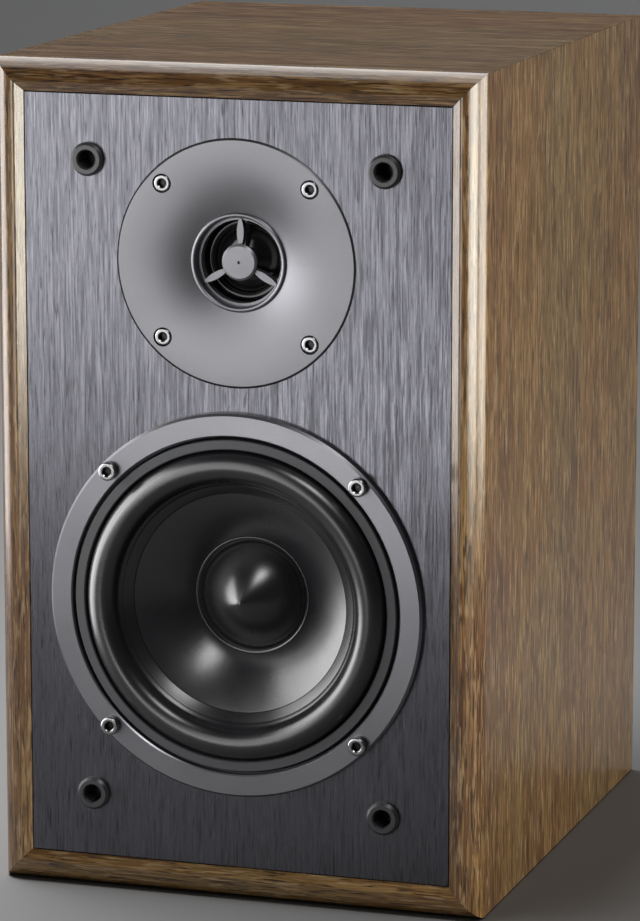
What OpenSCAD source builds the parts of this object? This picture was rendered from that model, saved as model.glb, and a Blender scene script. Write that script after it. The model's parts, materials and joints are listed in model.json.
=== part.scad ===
// Two-way bookshelf loudspeaker: a mitred walnut cabinet, an inset black baffle,
// a 25 mm dome tweeter behind a phase plug and a 5-inch-class woofer.
// The front faces -Y, the cabinet stands on Z = 0 and Y = 0 is the middle of its full depth.

/* [Cabinet] */
// Width over the side panels
cab_w = 190; // [186:1:220]
// Height over the top and bottom panels
cab_h = 315; // [312:1:360]
// Depth from the front ridge to the back edge
cab_d = 230; // [225:1:280]
// Thickness of the four wrapped boards
board_t = 12; // [11:0.5:13]
// Radius of the rounded outer front edge
edge_r = 8; // [5:0.5:8]
// How far the baffle face lies behind the front ridge
baffle_drop = 2.2; // [1:0.1:3]
// Thickness of the front baffle
baffle_t = 15; // [15:1:18]
// Thickness of the back panel
back_t = 12; // [10:1:15]
// How far the back panel lies inside the back edge
back_drop = 3; // [2.5:0.1:5]

/* [Drivers] */
// Height of the woofer axis
woofer_z = 113.5; // [112:0.5:115]
// Outer radius of the woofer trim ring
ring_r = 73; // [73:0.1:74]
// Radius of the circle through the woofer screws
ring_screw_r = 69.1; // [69:0.1:69.2]
// Height of the tweeter axis
tweeter_z = 242; // [241:0.5:243]
// Outer radius of the tweeter faceplate
plate_r = 46.2; // [46:0.1:46.4]
// Radius of the circle through the tweeter screws
plate_screw_r = 40.5; // [40:0.1:41]

/* [Grille sockets] */
// Sideways distance between the grille sockets
socket_dx = 115; // [110:1:118]
// Upright distance between the grille sockets
socket_dz = 242; // [240:1:246]
// Radius of the hole that takes a grille peg
socket_r = 3.3; // [3:0.1:3.4]

/* [Rear] */
// Height of the bass-reflex port axis
port_z = 236; // [220:1:250]
// Inner radius of the port tube
port_r = 22; // [18:1:22]
// Length of the port behind the back panel's face
port_len = 95; // [60:1:110]
// Height of the terminal cup's centre
cup_z = 88; // [84:1:100]
// Distance of each binding post from the centre
post_x = 15; // [12:0.5:18]
// Radius of the hole for a 4 mm banana plug
banana_r = 2; // [2:0.05:2.1]

/* [Hidden] */
$fn = 96;
eps = 0.01;
head_h = 3.4;
trim_t = 3.5;
front_reach = trim_t + head_h - baffle_drop;
ridge_y = (front_reach - cab_d) / 2;
baffle_y = ridge_y + baffle_drop;
panel_y = ridge_y + cab_d - back_drop;
mitre_gap = 0.05;

// Woofer: radius against depth behind the baffle face
rebate_d = 2.5;
flange_t = 1.5;
hole_r = 63;
lip_t = 0.7;
lip_in = 58.3;
gasket_in = 59.4;
gasket_out = 63.1;
roll_mid = 52.9;
roll_r = 5.75;
cone_out = 47.4;
cone_edge_d = 0.1;
cone_arc = 90;
cone_t = 1;
neck_d = 25.3;
cap_r = 20.7;
cap_seat_d = 19.6;
cap_h = 17.6;
former_r = 12.8;
ledge_d = 29.4;
motor_d = 35.7;
gap_plate_t = 6;
magnet_t = 15;
yoke_t = 5;
pole_r = 12.1;

// Tweeter: radius against depth behind the baffle face
plate_t = 4.7;
plate_seat = 5.5;
motor_hole_r = 36;
throat_r = 16.65;
flare_r = 95;
flare_out = 45;
rim_d = -0.4;
boss_d = 13.5;
dome_r = 12.5;
dome_h = 4;
t_motor_d = 15.3;
t_gap_t = 4;
t_magnet_t = 10;
t_yoke_t = 4;

// Rear: depth from the back panel's outer face, positive outwards
cup_w = 96;
cup_h = 76;
cup_wall = 2.5;
cup_depth = 24;
cup_floor = 3;
post_r = 3;
collar_h = 4;
washer_h = 1.2;
knob_h = 14;
run_gap = 0.15;

// Crossover board on the bottom panel
pcb_x = 100;
pcb_y = 80;
pcb_t = 1.6;
pcb_y0 = 92;
pcb_z = board_t + 8;

// Routes of the loose wires, as sideways, depth behind the ridge and height
WIRE_R = 0.9;
INPUT_ROUTE = [[15, 197.6, 76], [15, 193, 70], [16, 185, 55], [17, 177, 40], [18, 170, 29], [18, 164, 23]];
WOOFER_ROUTE = [[10, 97, 23], [10, 88, 27], [9, 72, 38], [8, 54, 46], [7, 42, 51], [6, 36.4, 58.5]];
TWEETER_ROUTE = [[40, 130, 23], [40, 133, 40], [38, 130, 80], [32, 122, 125], [24, 108, 165],
    [15, 84, 190], [9, 55, 198], [7, 30, 202], [7, 18.05, 208.5]];
LEAD_R = 0.6;
LEAD_ROUTE = [[4, 19, 22.6], [6, 26, 22.2], [9, 34, 22.6], [10.5, 41, 23.4], [10.5, 46.5, 24.4],
    [9.5, 51, 27], [8.5, 53, 30], [8, 53.5, 32.2]];

WALNUT = "#7d5d40";
BAFFLE = "#55555c";
SATIN = "#85858c";
NICKEL = "#d8d8da";
BLACK = "#1c1c1e";
STEEL = "#9a9ca0";
GOLD = "#c9a24a";
COPPER = "#b06a35";

// The cone's front is an arc from its outer edge in to the dust cap
cone_span = [cone_out - cap_r, cap_seat_d - cone_edge_d];
cone_c = [cone_out + cap_r, cap_seat_d + cone_edge_d] / 2
    + sqrt(cone_arc * cone_arc - cone_span * cone_span / 4) * [cone_span.y, cone_span.x] / norm(cone_span);
function cone_d(r) = cone_c.y - sqrt(cone_arc * cone_arc - pow(r - cone_c.x, 2));
function flip(p) = [-p[0], p[1], p[2]];

// Local +Z runs into the cabinet from the baffle face
module driver_axis(z)
    translate([0, baffle_y, z]) rotate([-90, 0, 0]) children();

// Local +Z runs outwards from the back panel's outer face
module rear_axis(x, z)
    translate([x, panel_y, z]) rotate([-90, 0, 0]) children();

module ring(r_in, r_out, z0, z1)
    translate([0, 0, z0]) difference() {
        cylinder(h = z1 - z0, r = r_out);
        translate([0, 0, -1]) cylinder(h = z1 - z0 + 2, r = r_in);
    }

module disc(r, z0, z1)
    translate([0, 0, z0]) cylinder(h = z1 - z0, r = r);

module four_around(r)
    for (a = [45:90:315]) rotate(a) translate([r, 0, 0]) children();

// Socket-head cap screw with its head's top at z = 0, a rounded rim and its shank along +Z
rim_r = 0.8;
module cap_screw(head_r, head, shank_r, length)
    difference() {
        union() {
            rotate_extrude() {
                square([head_r - rim_r, head]);
                translate([0, rim_r]) square([head_r, head - rim_r]);
                intersection() {
                    translate([head_r - rim_r, rim_r]) circle(rim_r);
                    square([head_r, head]);
                }
            }
            translate([0, 0, head - eps]) cylinder(h = length, r = shank_r);
        }
        translate([0, 0, -1]) cylinder(h = head * 0.6 + 1, r = head_r * 0.54, $fn = 6);
        translate([0, 0, -eps]) cylinder(h = 0.4, r1 = head_r * 0.6, r2 = head_r * 0.46);
    }

module rounded_plate(w, h, r)
    difference() {
        square([w, h], center = true);
        for (sx = [-1, 1]) for (sy = [-1, 1])
            translate([sx * w / 2, sy * h / 2]) difference() {
                square(2 * r, center = true);
                translate([-sx * r, -sy * r]) circle(r);
            }
    }

// Tube of eight sides swept along a route of points
function unit(v) = v / norm(v);
function tangent(p, i) = unit(p[min(i + 1, len(p) - 1)] - p[max(i - 1, 0)]);
function wire_ring(p, i, r) =
    let (t = tangent(p, i), u = unit(cross(t, [1, 0.13, 0.07])), v = cross(t, u))
    [for (k = [0:7]) p[i] + r * (cos(45 * k) * u + sin(45 * k) * v)];
module wire(route, r) {
    n = len(route);
    rings = [for (i = [0:n - 1]) each wire_ring(route, i, r)];
    sides = [for (i = [0:n - 2]) for (k = [0:7])
        [i * 8 + k, i * 8 + (k + 1) % 8, (i + 1) * 8 + (k + 1) % 8, (i + 1) * 8 + k]];
    ends = [[for (k = [7:-1:0]) k], [for (k = [0:7]) (n - 1) * 8 + k]];
    polyhedron(rings, concat(sides, ends), convexity = 4);
}

// Board standing on end, outer face at x = 0, ridge at y = 0, both ends mitred.
// The front edge is round on the outside. Inside it turns over a small radius into a flat
// bevel that falls to the baffle; bevel_turn is the angle from the board to the bevel's normal.
nose_r = 2;
nose_fall = baffle_drop - nose_r;
bevel_run = board_t - edge_r;
bevel_turn = acos(nose_r / norm([bevel_run, nose_fall])) - atan2(nose_fall, bevel_run);
bevel_start = [edge_r + nose_r * cos(bevel_turn), nose_r - nose_r * sin(bevel_turn)];
module mitred_board(length)
    intersection() {
        linear_extrude(length) difference() {
            square([board_t, cab_d]);
            difference() {
                translate([-1, -1]) square(edge_r + 1);
                translate([edge_r, edge_r]) circle(edge_r);
            }
            difference() {
                polygon([[edge_r, bevel_start.y], [edge_r, -1], [board_t + 1, -1],
                    [board_t + 1, baffle_drop + 1 / tan(bevel_turn)], bevel_start]);
                translate([edge_r, nose_r]) circle(nose_r);
            }
        }
        translate([0, cab_d + 1, 0]) rotate([90, 0, 0]) linear_extrude(cab_d + 2)
            polygon([[-0.001, mitre_gap], [board_t + 0.001, board_t + mitre_gap],
                [board_t + 0.001, length - board_t - mitre_gap], [-0.001, length - mitre_gap]]);
    }

module left_side_panel()
    color(WALNUT) translate([-cab_w / 2, ridge_y, 0]) mitred_board(cab_h);

module right_side_panel()
    color(WALNUT) mirror([1, 0, 0]) translate([-cab_w / 2, ridge_y, 0]) mitred_board(cab_h);

module bottom_panel()
    color(WALNUT) translate([cab_w / 2, ridge_y, 0]) rotate([0, -90, 0]) mitred_board(cab_w);

module top_panel()
    color(WALNUT) translate([0, 0, cab_h]) mirror([0, 0, 1])
        translate([cab_w / 2, ridge_y, 0]) rotate([0, -90, 0]) mitred_board(cab_w);

inner_w = cab_w - 2 * board_t;
inner_h = cab_h - 2 * board_t;
bevel = 0.5;

module front_baffle()
    color(BAFFLE) difference() {
        translate([0, baffle_y, cab_h / 2]) intersection() {
            translate([0, 0, -inner_h / 2]) linear_extrude(inner_h)
                polygon([[-inner_w / 2, bevel], [-inner_w / 2 + bevel, 0], [inner_w / 2 - bevel, 0],
                    [inner_w / 2, bevel], [inner_w / 2, baffle_t], [-inner_w / 2, baffle_t]]);
            rotate([0, -90, 0]) translate([0, 0, -inner_w / 2 - 1]) linear_extrude(inner_w + 2)
                polygon([[-inner_h / 2, bevel], [-inner_h / 2 + bevel, 0], [inner_h / 2 - bevel, 0],
                    [inner_h / 2, bevel], [inner_h / 2, baffle_t], [-inner_h / 2, baffle_t]]);
        }
        driver_axis(woofer_z) {
            disc(ring_r - 0.3, -1, rebate_d);
            disc(hole_r, 0, baffle_t + 1);
            four_around(ring_screw_r) disc(2, 0, baffle_t - 1);
        }
        driver_axis(tweeter_z) {
            disc(plate_r + 0.25, -1, plate_seat);
            disc(motor_hole_r, 0, baffle_t + 1);
            four_around(plate_screw_r) disc(1.8, 0, baffle_t - 1);
        }
        grille_places() disc(5.1, -1, 11);
    }

module grille_places()
    for (sx = [-1, 1]) for (sz = [-1, 1])
        driver_axis(cab_h / 2 + sz * socket_dz / 2) translate([sx * socket_dx / 2, 0, 0]) children();

// Moulded sleeve with a flange, and five grip slots along its round hole
module grille_sockets()
    color(BLACK) grille_places() difference() {
        union() {
            rotate_extrude() polygon([[0, -2.5], [5.3, -2.5], [6.3, -1.5], [6.3, 0], [0, 0]]);
            disc(5.05, -eps, 10.5);
        }
        disc(socket_r, -3, 8.5);
        rotate_extrude() polygon([[0, -3], [socket_r + 0.9, -3], [socket_r, -1.7], [0, -1.7]]);
        for (a = [18:72:306]) rotate(a) translate([socket_r - 0.5, -0.4, -1.8]) cube([1.1, 0.8, 10]);
    }

module back_panel()
    color(BLACK) difference() {
        translate([-inner_w / 2, panel_y - back_t, board_t]) cube([inner_w, back_t, inner_h]);
        rear_axis(0, port_z) disc(port_r + 6.7, -back_t - 1, 1);
        rear_axis(0, cup_z) translate([0, 0, -back_t - 1]) linear_extrude(back_t + 2)
            rounded_plate(cup_w - 14, cup_h - 14, 6);
        rear_axis(0, cup_z) cup_corners() disc(1.3, -back_t + 2, 1);
        rear_axis(0, port_z) port_corners() disc(1.3, -back_t + 2, 1);
    }

// Fleece lining on both side walls and under the top
module damping_wadding()
    color("#e6e2d6") translate([0, ridge_y, 0]) difference() {
        translate([-inner_w / 2 + 0.5, 70, 60]) cube([inner_w - 1, 135, cab_h - board_t - 60.5]);
        translate([-inner_w / 2 + 16, 69, 59]) cube([inner_w - 32, 137, cab_h - board_t - 59 - 16]);
    }

// ---- Woofer ----

module woofer_trim_ring()
    color(SATIN) driver_axis(woofer_z) difference() {
        rotate_extrude() polygon([[64.4, 0], [ring_r, 0], [ring_r, -trim_t + 0.9], [ring_r - 0.9, -trim_t],
            [64.9, -trim_t], [64.4, -trim_t + 0.5]]);
        four_around(ring_screw_r) disc(2.25, -trim_t - 1, 1);
    }

module woofer_seal_gasket()
    color(BLACK) driver_axis(woofer_z) difference() {
        ring(hole_r, ring_r - 0.5, flange_t, rebate_d);
        four_around(ring_screw_r) disc(2.25, flange_t - 1, rebate_d + 1);
    }

module woofer_basket()
    color(BLACK) driver_axis(woofer_z) difference() {
        rotate_extrude() polygon([[59, 0], [ring_r - 0.5, 0], [ring_r - 0.5, flange_t], [61.8, flange_t],
            [42.2, ledge_d + 1.4], [35.6, ledge_d + 1.4], [34, motor_d], [16, motor_d],
            [16, motor_d - 1.5], [32.8, motor_d - 1.5], [34.4, ledge_d], [41.2, ledge_d], [59, 2.8]]);
        four_around(ring_screw_r) disc(2.25, -1, flange_t + 1);
        for (a = [0:60:300]) rotate(a) translate([36, -17, 5]) cube([40, 34, 21]);
    }

module woofer_gasket_ring()
    color("#46464a") driver_axis(woofer_z) rotate_extrude()
        polygon([[gasket_in, -lip_t], [gasket_out, -lip_t], [gasket_out, -2.9], [gasket_out - 0.3, -3.2],
            [gasket_in + 0.4, -3.2], [gasket_in, -2.8]]);

// Half-roll rubber surround: outer lip, roll, and inner lip lying on the cone's edge
module woofer_surround()
    color("#2c2c30") driver_axis(woofer_z) rotate_extrude() union() {
        translate([lip_in, -lip_t]) square([63.9 - lip_in, lip_t]);
        intersection() {
            translate([roll_mid, -lip_t / 2]) difference() {
                circle(roll_r);
                circle(roll_r - lip_t);
            }
            translate([roll_mid - roll_r - 1, -10]) square([2 * roll_r + 2, 10 - lip_t / 2 + 0.2]);
        }
        polygon([[44.9, cone_d(44.9) - 0.05], [47.9, -0.3], [47.9, -1], [44.9, cone_d(44.9) - 0.6]]);
    }

// Under the dust cap a straight neck runs on to the coil former
module woofer_cone()
    color("#28282b") driver_axis(woofer_z) rotate_extrude() {
        intersection() {
            difference() {
                translate(cone_c) circle(cone_arc);
                translate(cone_c + [0, cone_t]) circle(cone_arc);
            }
            translate([cap_r, 0]) square([cone_out - cap_r, neck_d]);
        }
        polygon([[former_r + 0.03, neck_d], [cap_r + eps, cone_d(cap_r)],
            [cap_r + eps, cone_d(cap_r) + cone_t], [former_r + 0.03, neck_d + cone_t]]);
    }

// Half section of a cap: a large arc from the rim to a small round tip on the axis
cap_arc = 45;
cap_tip = 3;
cap_d = cone_d(cap_r) - 0.2;
cap_chord = norm([cap_r, cap_h]);
cap_c = [cap_r / 2, cap_d - cap_h / 2] + sqrt(cap_arc * cap_arc - cap_chord * cap_chord / 4)
    * [-cap_h, cap_r] / cap_chord;
cap_tip_d = cap_c[1] - sqrt(pow(cap_arc - cap_tip, 2) - cap_c[0] * cap_c[0]);
cap_join = cap_c + cap_arc * unit([0, cap_tip_d] - cap_c);
module cap_section(inset) {
    intersection() {
        translate(cap_c) circle(cap_arc - inset);
        translate([0, cap_join[1]]) square([cap_r + 5, cap_d - cap_join[1]]);
    }
    intersection() {
        translate([0, cap_tip_d]) circle(cap_tip - inset);
        translate([0, cap_join[1] - 10]) square([cap_r, 10 + eps]);
    }
}

module woofer_dust_cap()
    color("#232326") driver_axis(woofer_z) rotate_extrude() difference() {
        cap_section(0);
        translate([0, 2 * eps]) cap_section(0.6);
    }

// Corrugated suspension disc glued between the former and the basket's ledge
module woofer_spider()
    color("#c8a860") driver_axis(woofer_z) rotate_extrude() polygon(concat(
        [for (i = [0:40]) [former_r + 0.03 + i * 0.6, ledge_d - 1.3 + 0.8 * sin(i * 45)]],
        [[40.8, ledge_d - 1.3], [40.8, ledge_d - 0.1], [36.83, ledge_d - 0.1]],
        [for (i = [40:-1:0]) [former_r + 0.03 + i * 0.6, ledge_d - 0.9 + 0.8 * sin(i * 45)]]));

module woofer_coil_former()
    color("#b9b39c") driver_axis(woofer_z) ring(former_r - 0.3, former_r, 24, 45);

module woofer_coil_winding()
    color(COPPER) driver_axis(woofer_z) ring(former_r + eps, former_r + 0.5, 32.7, 44.7);

module woofer_top_plate()
    color(STEEL) driver_axis(woofer_z) ring(former_r + 0.9, 37, motor_d, motor_d + gap_plate_t);

module woofer_magnet()
    color("#3a3a3d") driver_axis(woofer_z) translate([0, 0, motor_d + gap_plate_t]) rotate_extrude()
        polygon([[18, 0], [41.5, 0], [42.5, 1], [42.5, magnet_t - 1], [41.5, magnet_t], [18, magnet_t]]);

module woofer_yoke()
    color(STEEL) driver_axis(woofer_z) translate([0, 0, motor_d + gap_plate_t + magnet_t]) rotate_extrude()
        polygon([[0, -gap_plate_t - magnet_t], [pole_r - 0.5, -gap_plate_t - magnet_t],
            [pole_r, -gap_plate_t - magnet_t + 0.5], [pole_r, 0], [37, 0], [37, yoke_t - 1.5],
            [35.5, yoke_t], [0, yoke_t]]);

// The strip lies behind the basket's ledge, on the side that faces down
module woofer_terminal_strip()
    color("#8a5a32") driver_axis(woofer_z) translate([-11, 36.5, ledge_d + 1.45]) cube([22, 13.5, 1.6]);

module woofer_solder_tags()
    color(GOLD) driver_axis(woofer_z) for (s = [-1, 1])
        translate([s * 6.5 - 2.4, 45, ledge_d + 3.06]) cube([4.8, 12, 0.8]);

module woofer_tinsel_leads()
    color(COPPER) driver_axis(woofer_z) {
        wire(LEAD_ROUTE, LEAD_R);
        wire([for (p = LEAD_ROUTE) flip(p)], LEAD_R);
    }

module woofer_screws()
    color(NICKEL) driver_axis(woofer_z) four_around(ring_screw_r)
        translate([0, 0, -trim_t - head_h]) cap_screw(3.5, head_h, 1.9, 16);

// ---- Tweeter ----

module tweeter_faceplate()
    color(SATIN) driver_axis(tweeter_z) difference() {
        rotate_extrude() union() {
            intersection() {
                translate([flare_out, rim_d + flare_r]) circle(flare_r, $fn = 720);
                translate([throat_r + 1, rim_d - 1])
                    square([flare_out - throat_r - 1, plate_t - rim_d + 1]);
            }
            polygon([[flare_out - eps, rim_d], [plate_r - 0.6, rim_d], [plate_r, rim_d + 0.6],
                [plate_r, plate_t], [flare_out - eps, plate_t]]);
            translate([throat_r, 3.5]) square([1.1, plate_t - 3.5]);
            translate([throat_r, plate_t - eps]) square([24 - throat_r, boss_d - plate_t]);
            intersection() {
                translate([throat_r + 1, 3.5]) circle(1);
                translate([throat_r, 2]) square(3);
            }
        }
        four_around(plate_screw_r) {
            disc(2, 0, plate_t + 1);
            disc(3.6, -2, 3.1);
        }
    }

module tweeter_gasket()
    color(BLACK) driver_axis(tweeter_z) difference() {
        ring(motor_hole_r + 0.5, plate_r - 0.2, plate_t, plate_seat);
        four_around(plate_screw_r) disc(2, plate_t - 1, plate_seat + 1);
    }

module tweeter_screws()
    color(NICKEL) driver_axis(tweeter_z) four_around(plate_screw_r)
        translate([0, 0, -0.3]) cap_screw(3.3, 3.4, 1.7, 10.5);

// Domed plug on three leaf-shaped arms that end in a thin ring in the throat
leaf_r = 15;
leaf_w = 2.6;
module tweeter_phase_plug()
    color(STEEL) driver_axis(tweeter_z) difference() {
        union() {
            rotate_extrude() polygon([[0, 3.5], [6, 3.6], [6.8, 4.2], [5.6, 9], [0, 9]]);
            ring(15.6, throat_r - 0.02, 6, 9.5);
            intersection() {
                for (a = [30, 150, 270]) rotate(a) translate([11, 0, 5.2]) linear_extrude(3.2)
                    intersection() {
                        translate([0, leaf_r - leaf_w / 2]) circle(leaf_r);
                        translate([0, leaf_w / 2 - leaf_r]) circle(leaf_r);
                    }
                disc(16.1, 0, 12);
            }
        }
        disc(0.6, 2, 4.6);
    }

dome_sphere = (dome_r * dome_r + dome_h * dome_h) / (2 * dome_h);
dome_rim = 13.85;
module tweeter_dome()
    color("#18181a") driver_axis(tweeter_z) rotate_extrude() intersection() {
        translate([0, dome_rim - dome_h + dome_sphere]) difference() {
            circle(dome_sphere);
            circle(dome_sphere - 0.3);
        }
        translate([0, dome_rim - dome_h - 1]) square([dome_r + 1, dome_h + 1]);
    }

module tweeter_surround()
    color("#18181a") driver_axis(tweeter_z) rotate_extrude() union() {
        intersection() {
            translate([14.2, dome_rim - 0.1]) difference() {
                circle(1.55);
                circle(1.3);
            }
            translate([12, 10]) square([5, dome_rim - 10]);
        }
        translate([15.55, dome_rim - 0.3]) square([5, 0.25]);
    }

module tweeter_diaphragm_ring()
    color(BLACK) driver_axis(tweeter_z) ring(16.2, 24, dome_rim - 0.04, t_motor_d);

module tweeter_coil_former()
    color("#b9b39c") driver_axis(tweeter_z) ring(12.1, 12.35, dome_rim + 0.05, 19.8);

module tweeter_coil_winding()
    color(COPPER) driver_axis(tweeter_z) ring(12.36, 12.7, 15.8, 19.6);

module tweeter_top_plate()
    color(STEEL) driver_axis(tweeter_z) ring(13, 31, t_motor_d, t_motor_d + t_gap_t);

module tweeter_magnet()
    color("#3a3a3d") driver_axis(tweeter_z)
        ring(17, 34, t_motor_d + t_gap_t, t_motor_d + t_gap_t + t_magnet_t);

module tweeter_yoke()
    color(STEEL) driver_axis(tweeter_z) translate([0, 0, t_motor_d + t_gap_t + t_magnet_t]) rotate_extrude()
        polygon([[0, -t_gap_t - t_magnet_t], [11.8, -t_gap_t - t_magnet_t], [11.8, 0], [31, 0],
            [31, t_yoke_t - 1], [30, t_yoke_t], [0, t_yoke_t]]);

module tweeter_solder_tags()
    color(GOLD) driver_axis(tweeter_z) for (s = [-1, 1])
        translate([s * 7 - 2.4, 23.6, boss_d + 0.6]) cube([4.8, 11.2, 0.8]);

// ---- Crossover ----

module crossover_place(x, y, z)
    translate([x, ridge_y + pcb_y0 + y, pcb_z + pcb_t + z]) children();

module pcb_corners()
    for (x = [-pcb_x / 2 + 6, pcb_x / 2 - 6]) for (y = [6, pcb_y - 6])
        crossover_place(x, y, 0) children();

module crossover_board()
    color("#b99a5f") difference() {
        translate([-pcb_x / 2, ridge_y + pcb_y0, pcb_z]) cube([pcb_x, pcb_y, pcb_t]);
        pcb_corners() disc(1.7, -3, 1);
    }

module crossover_standoffs()
    color(BLACK) pcb_corners() ring(1.6, 4, board_t - pcb_z - pcb_t, -pcb_t);

module crossover_screws()
    color(NICKEL) pcb_corners() {
        disc(2.8, 0, 2);
        disc(1.5, board_t - pcb_z - pcb_t + 0.5, eps);
    }

module woofer_inductor()
    color(COPPER) crossover_place(-18, 42, 0) ring(9, 19, 0, 20);

module tweeter_inductor()
    color(COPPER) crossover_place(20, 60, 12.5) rotate([0, 90, 0]) ring(5, 12.4, -6, 6);

module crossover_capacitors()
    color("#c8452f") {
        crossover_place(22, 34, 8.1) rotate([0, 90, 0]) disc(8, -13, 13);
        crossover_place(22, 16, 6.1) rotate([0, 90, 0]) disc(6, -11, 11);
    }

module crossover_resistor()
    color("#e8e6dc") crossover_place(-30, 9, 0) cube([24, 9, 9]);

// ---- Rear ----

module port_corners()
    four_around(port_r + 9.5 - 1.5) children();

module port_tube()
    color(BLACK) rear_axis(0, port_z) rotate_extrude() difference() {
        union() {
            translate([port_r, -port_len]) square([2, port_len]);
            translate([port_r, -back_t]) square([6.5, back_t + 1]);
            polygon([[port_r, 0], [port_r + 11.5, 0], [port_r + 11.5, 1.3],
                [port_r + 10.8, 2], [port_r, 2]]);
        }
        difference() {
            translate([port_r - 1, -5]) square(8);
            translate([port_r + 7, -5]) circle(7);
        }
    }

module cup_corners()
    for (sx = [-1, 1]) for (sy = [-1, 1])
        translate([sx * (cup_w / 2 - 5), sy * (cup_h / 2 - 5), 0]) children();

module cup_posts()
    for (s = [-1, 1]) translate([s * post_x, 0, 0]) children();

module terminal_cup()
    color(BLACK) rear_axis(0, cup_z) difference() {
        union() {
            linear_extrude(2) rounded_plate(cup_w, cup_h, 8);
            translate([0, 0, -cup_depth - cup_floor]) linear_extrude(cup_depth + cup_floor + eps)
                rounded_plate(cup_w - 15, cup_h - 15, 5.5);
        }
        translate([0, 0, -cup_depth]) linear_extrude(cup_depth + 3)
            rounded_plate(cup_w - 15 - 2 * cup_wall, cup_h - 15 - 2 * cup_wall, 3);
        cup_posts() disc(post_r + 0.1, -cup_depth - cup_floor - 1, 0);
        cup_corners() disc(1.8, -1, 3);
    }

module terminal_cup_screws()
    color(BLACK) rear_axis(0, cup_z) cup_corners() difference() {
        union() {
            rotate_extrude() polygon([[0, 2], [3, 2], [3, 2.4], [2.2, 3], [0, 3]]);
            disc(1.25, -8, 2 + eps);
        }
        for (a = [0, 90]) rotate(a) translate([-1.5, -0.35, 2.3]) cube([3, 0.7, 1]);
    }

module post_studs()
    color(GOLD) rear_axis(0, cup_z) cup_posts() difference() {
        rotate_extrude() polygon([[0, -39], [post_r - 0.4, -39], [post_r, -38.6], [post_r, -2.4],
            [post_r - 0.4, -2], [0, -2]]);
        disc(banana_r, -14, 0);
        translate([-5, 0, -17.6]) rotate([0, 90, 0]) cylinder(h = 10, r = 1.4);
    }

module post_solder_tags()
    color(GOLD) rear_axis(0, cup_z) cup_posts() difference() {
        union() {
            disc(5.5, -27.85, -27.05);
            translate([-2.4, 0, -27.85]) cube([4.8, 15, 0.8]);
        }
        disc(post_r + 0.05, -29, -26);
    }

module post_nuts()
    color(NICKEL) rear_axis(0, cup_z) cup_posts() difference() {
        translate([0, 0, -32]) cylinder(h = 4.1, r = 5.6, $fn = 6);
        disc(post_r + 0.02, -33, -27);
    }

collar_z = -cup_depth + collar_h;
washer_z = collar_z + run_gap;
knob_z = washer_z + washer_h + run_gap;

module post_collar(s)
    rear_axis(s * post_x, cup_z) difference() {
        rotate_extrude() polygon([[0, -cup_depth], [7.5, -cup_depth], [7.5, collar_z - 0.5],
            [7, collar_z], [0, collar_z]]);
        disc(post_r + 0.05, -cup_depth - 1, collar_z + 1);
    }

module post_washer(s)
    rear_axis(s * post_x, cup_z) ring(post_r + 0.05, 5.6, washer_z, washer_z + washer_h);

// Fluted knob that screws along the stud
module post_knob(s)
    rear_axis(s * post_x, cup_z) difference() {
        rotate_extrude() polygon([[0, knob_z], [6.4, knob_z], [7, knob_z + 0.6], [7, knob_z + knob_h - 1.2],
            [5.8, knob_z + knob_h], [0, knob_z + knob_h]]);
        disc(post_r + 0.05, knob_z - 1, knob_z + knob_h + 1);
        for (a = [0:30:330]) rotate(a) translate([7.6, 0, knob_z + 2]) cylinder(h = knob_h, r = 1.3);
    }

module red_post_collar() color("#a01818") post_collar(-1);
module black_post_collar() color(BLACK) post_collar(1);
module red_post_washer() color(GOLD) post_washer(-1);
module black_post_washer() color(GOLD) post_washer(1);
module red_post_knob() color("#a01818") post_knob(-1);
module black_post_knob() color(BLACK) post_knob(1);

module wire_set(s)
    translate([0, ridge_y, 0]) for (route = [INPUT_ROUTE, WOOFER_ROUTE, TWEETER_ROUTE])
        wire([for (p = route) s > 0 ? p : flip(p)], WIRE_R);
module red_wires() color("#a01818") wire_set(-1);
module black_wires() color(BLACK) wire_set(1);

left_side_panel();
right_side_panel();
top_panel();
bottom_panel();
front_baffle();
back_panel();
damping_wadding();
grille_sockets();
woofer_trim_ring();
woofer_basket();
woofer_seal_gasket();
woofer_gasket_ring();
woofer_surround();
woofer_cone();
woofer_dust_cap();
woofer_spider();
woofer_coil_former();
woofer_coil_winding();
woofer_top_plate();
woofer_magnet();
woofer_yoke();
woofer_terminal_strip();
woofer_solder_tags();
woofer_tinsel_leads();
woofer_screws();
tweeter_faceplate();
tweeter_phase_plug();
tweeter_dome();
tweeter_surround();
tweeter_coil_former();
tweeter_coil_winding();
tweeter_diaphragm_ring();
tweeter_top_plate();
tweeter_magnet();
tweeter_yoke();
tweeter_solder_tags();
tweeter_gasket();
tweeter_screws();
crossover_board();
woofer_inductor();
tweeter_inductor();
crossover_capacitors();
crossover_resistor();
crossover_standoffs();
crossover_screws();
port_tube();
terminal_cup();
terminal_cup_screws();
post_studs();
post_nuts();
post_solder_tags();
red_post_collar();
black_post_collar();
red_post_washer();
black_post_washer();
red_post_knob();
black_post_knob();
red_wires();
black_wires();
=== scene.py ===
"""Looks of a two-way bookshelf speaker: materials for every CAD node, the flexible parts,
a pale floor, soft studio light and the camera. Metres, +Z up, the baffle faces -Y."""

import json
import math

import bmesh
import bpy
from mathutils import Matrix, Vector, noise

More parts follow.
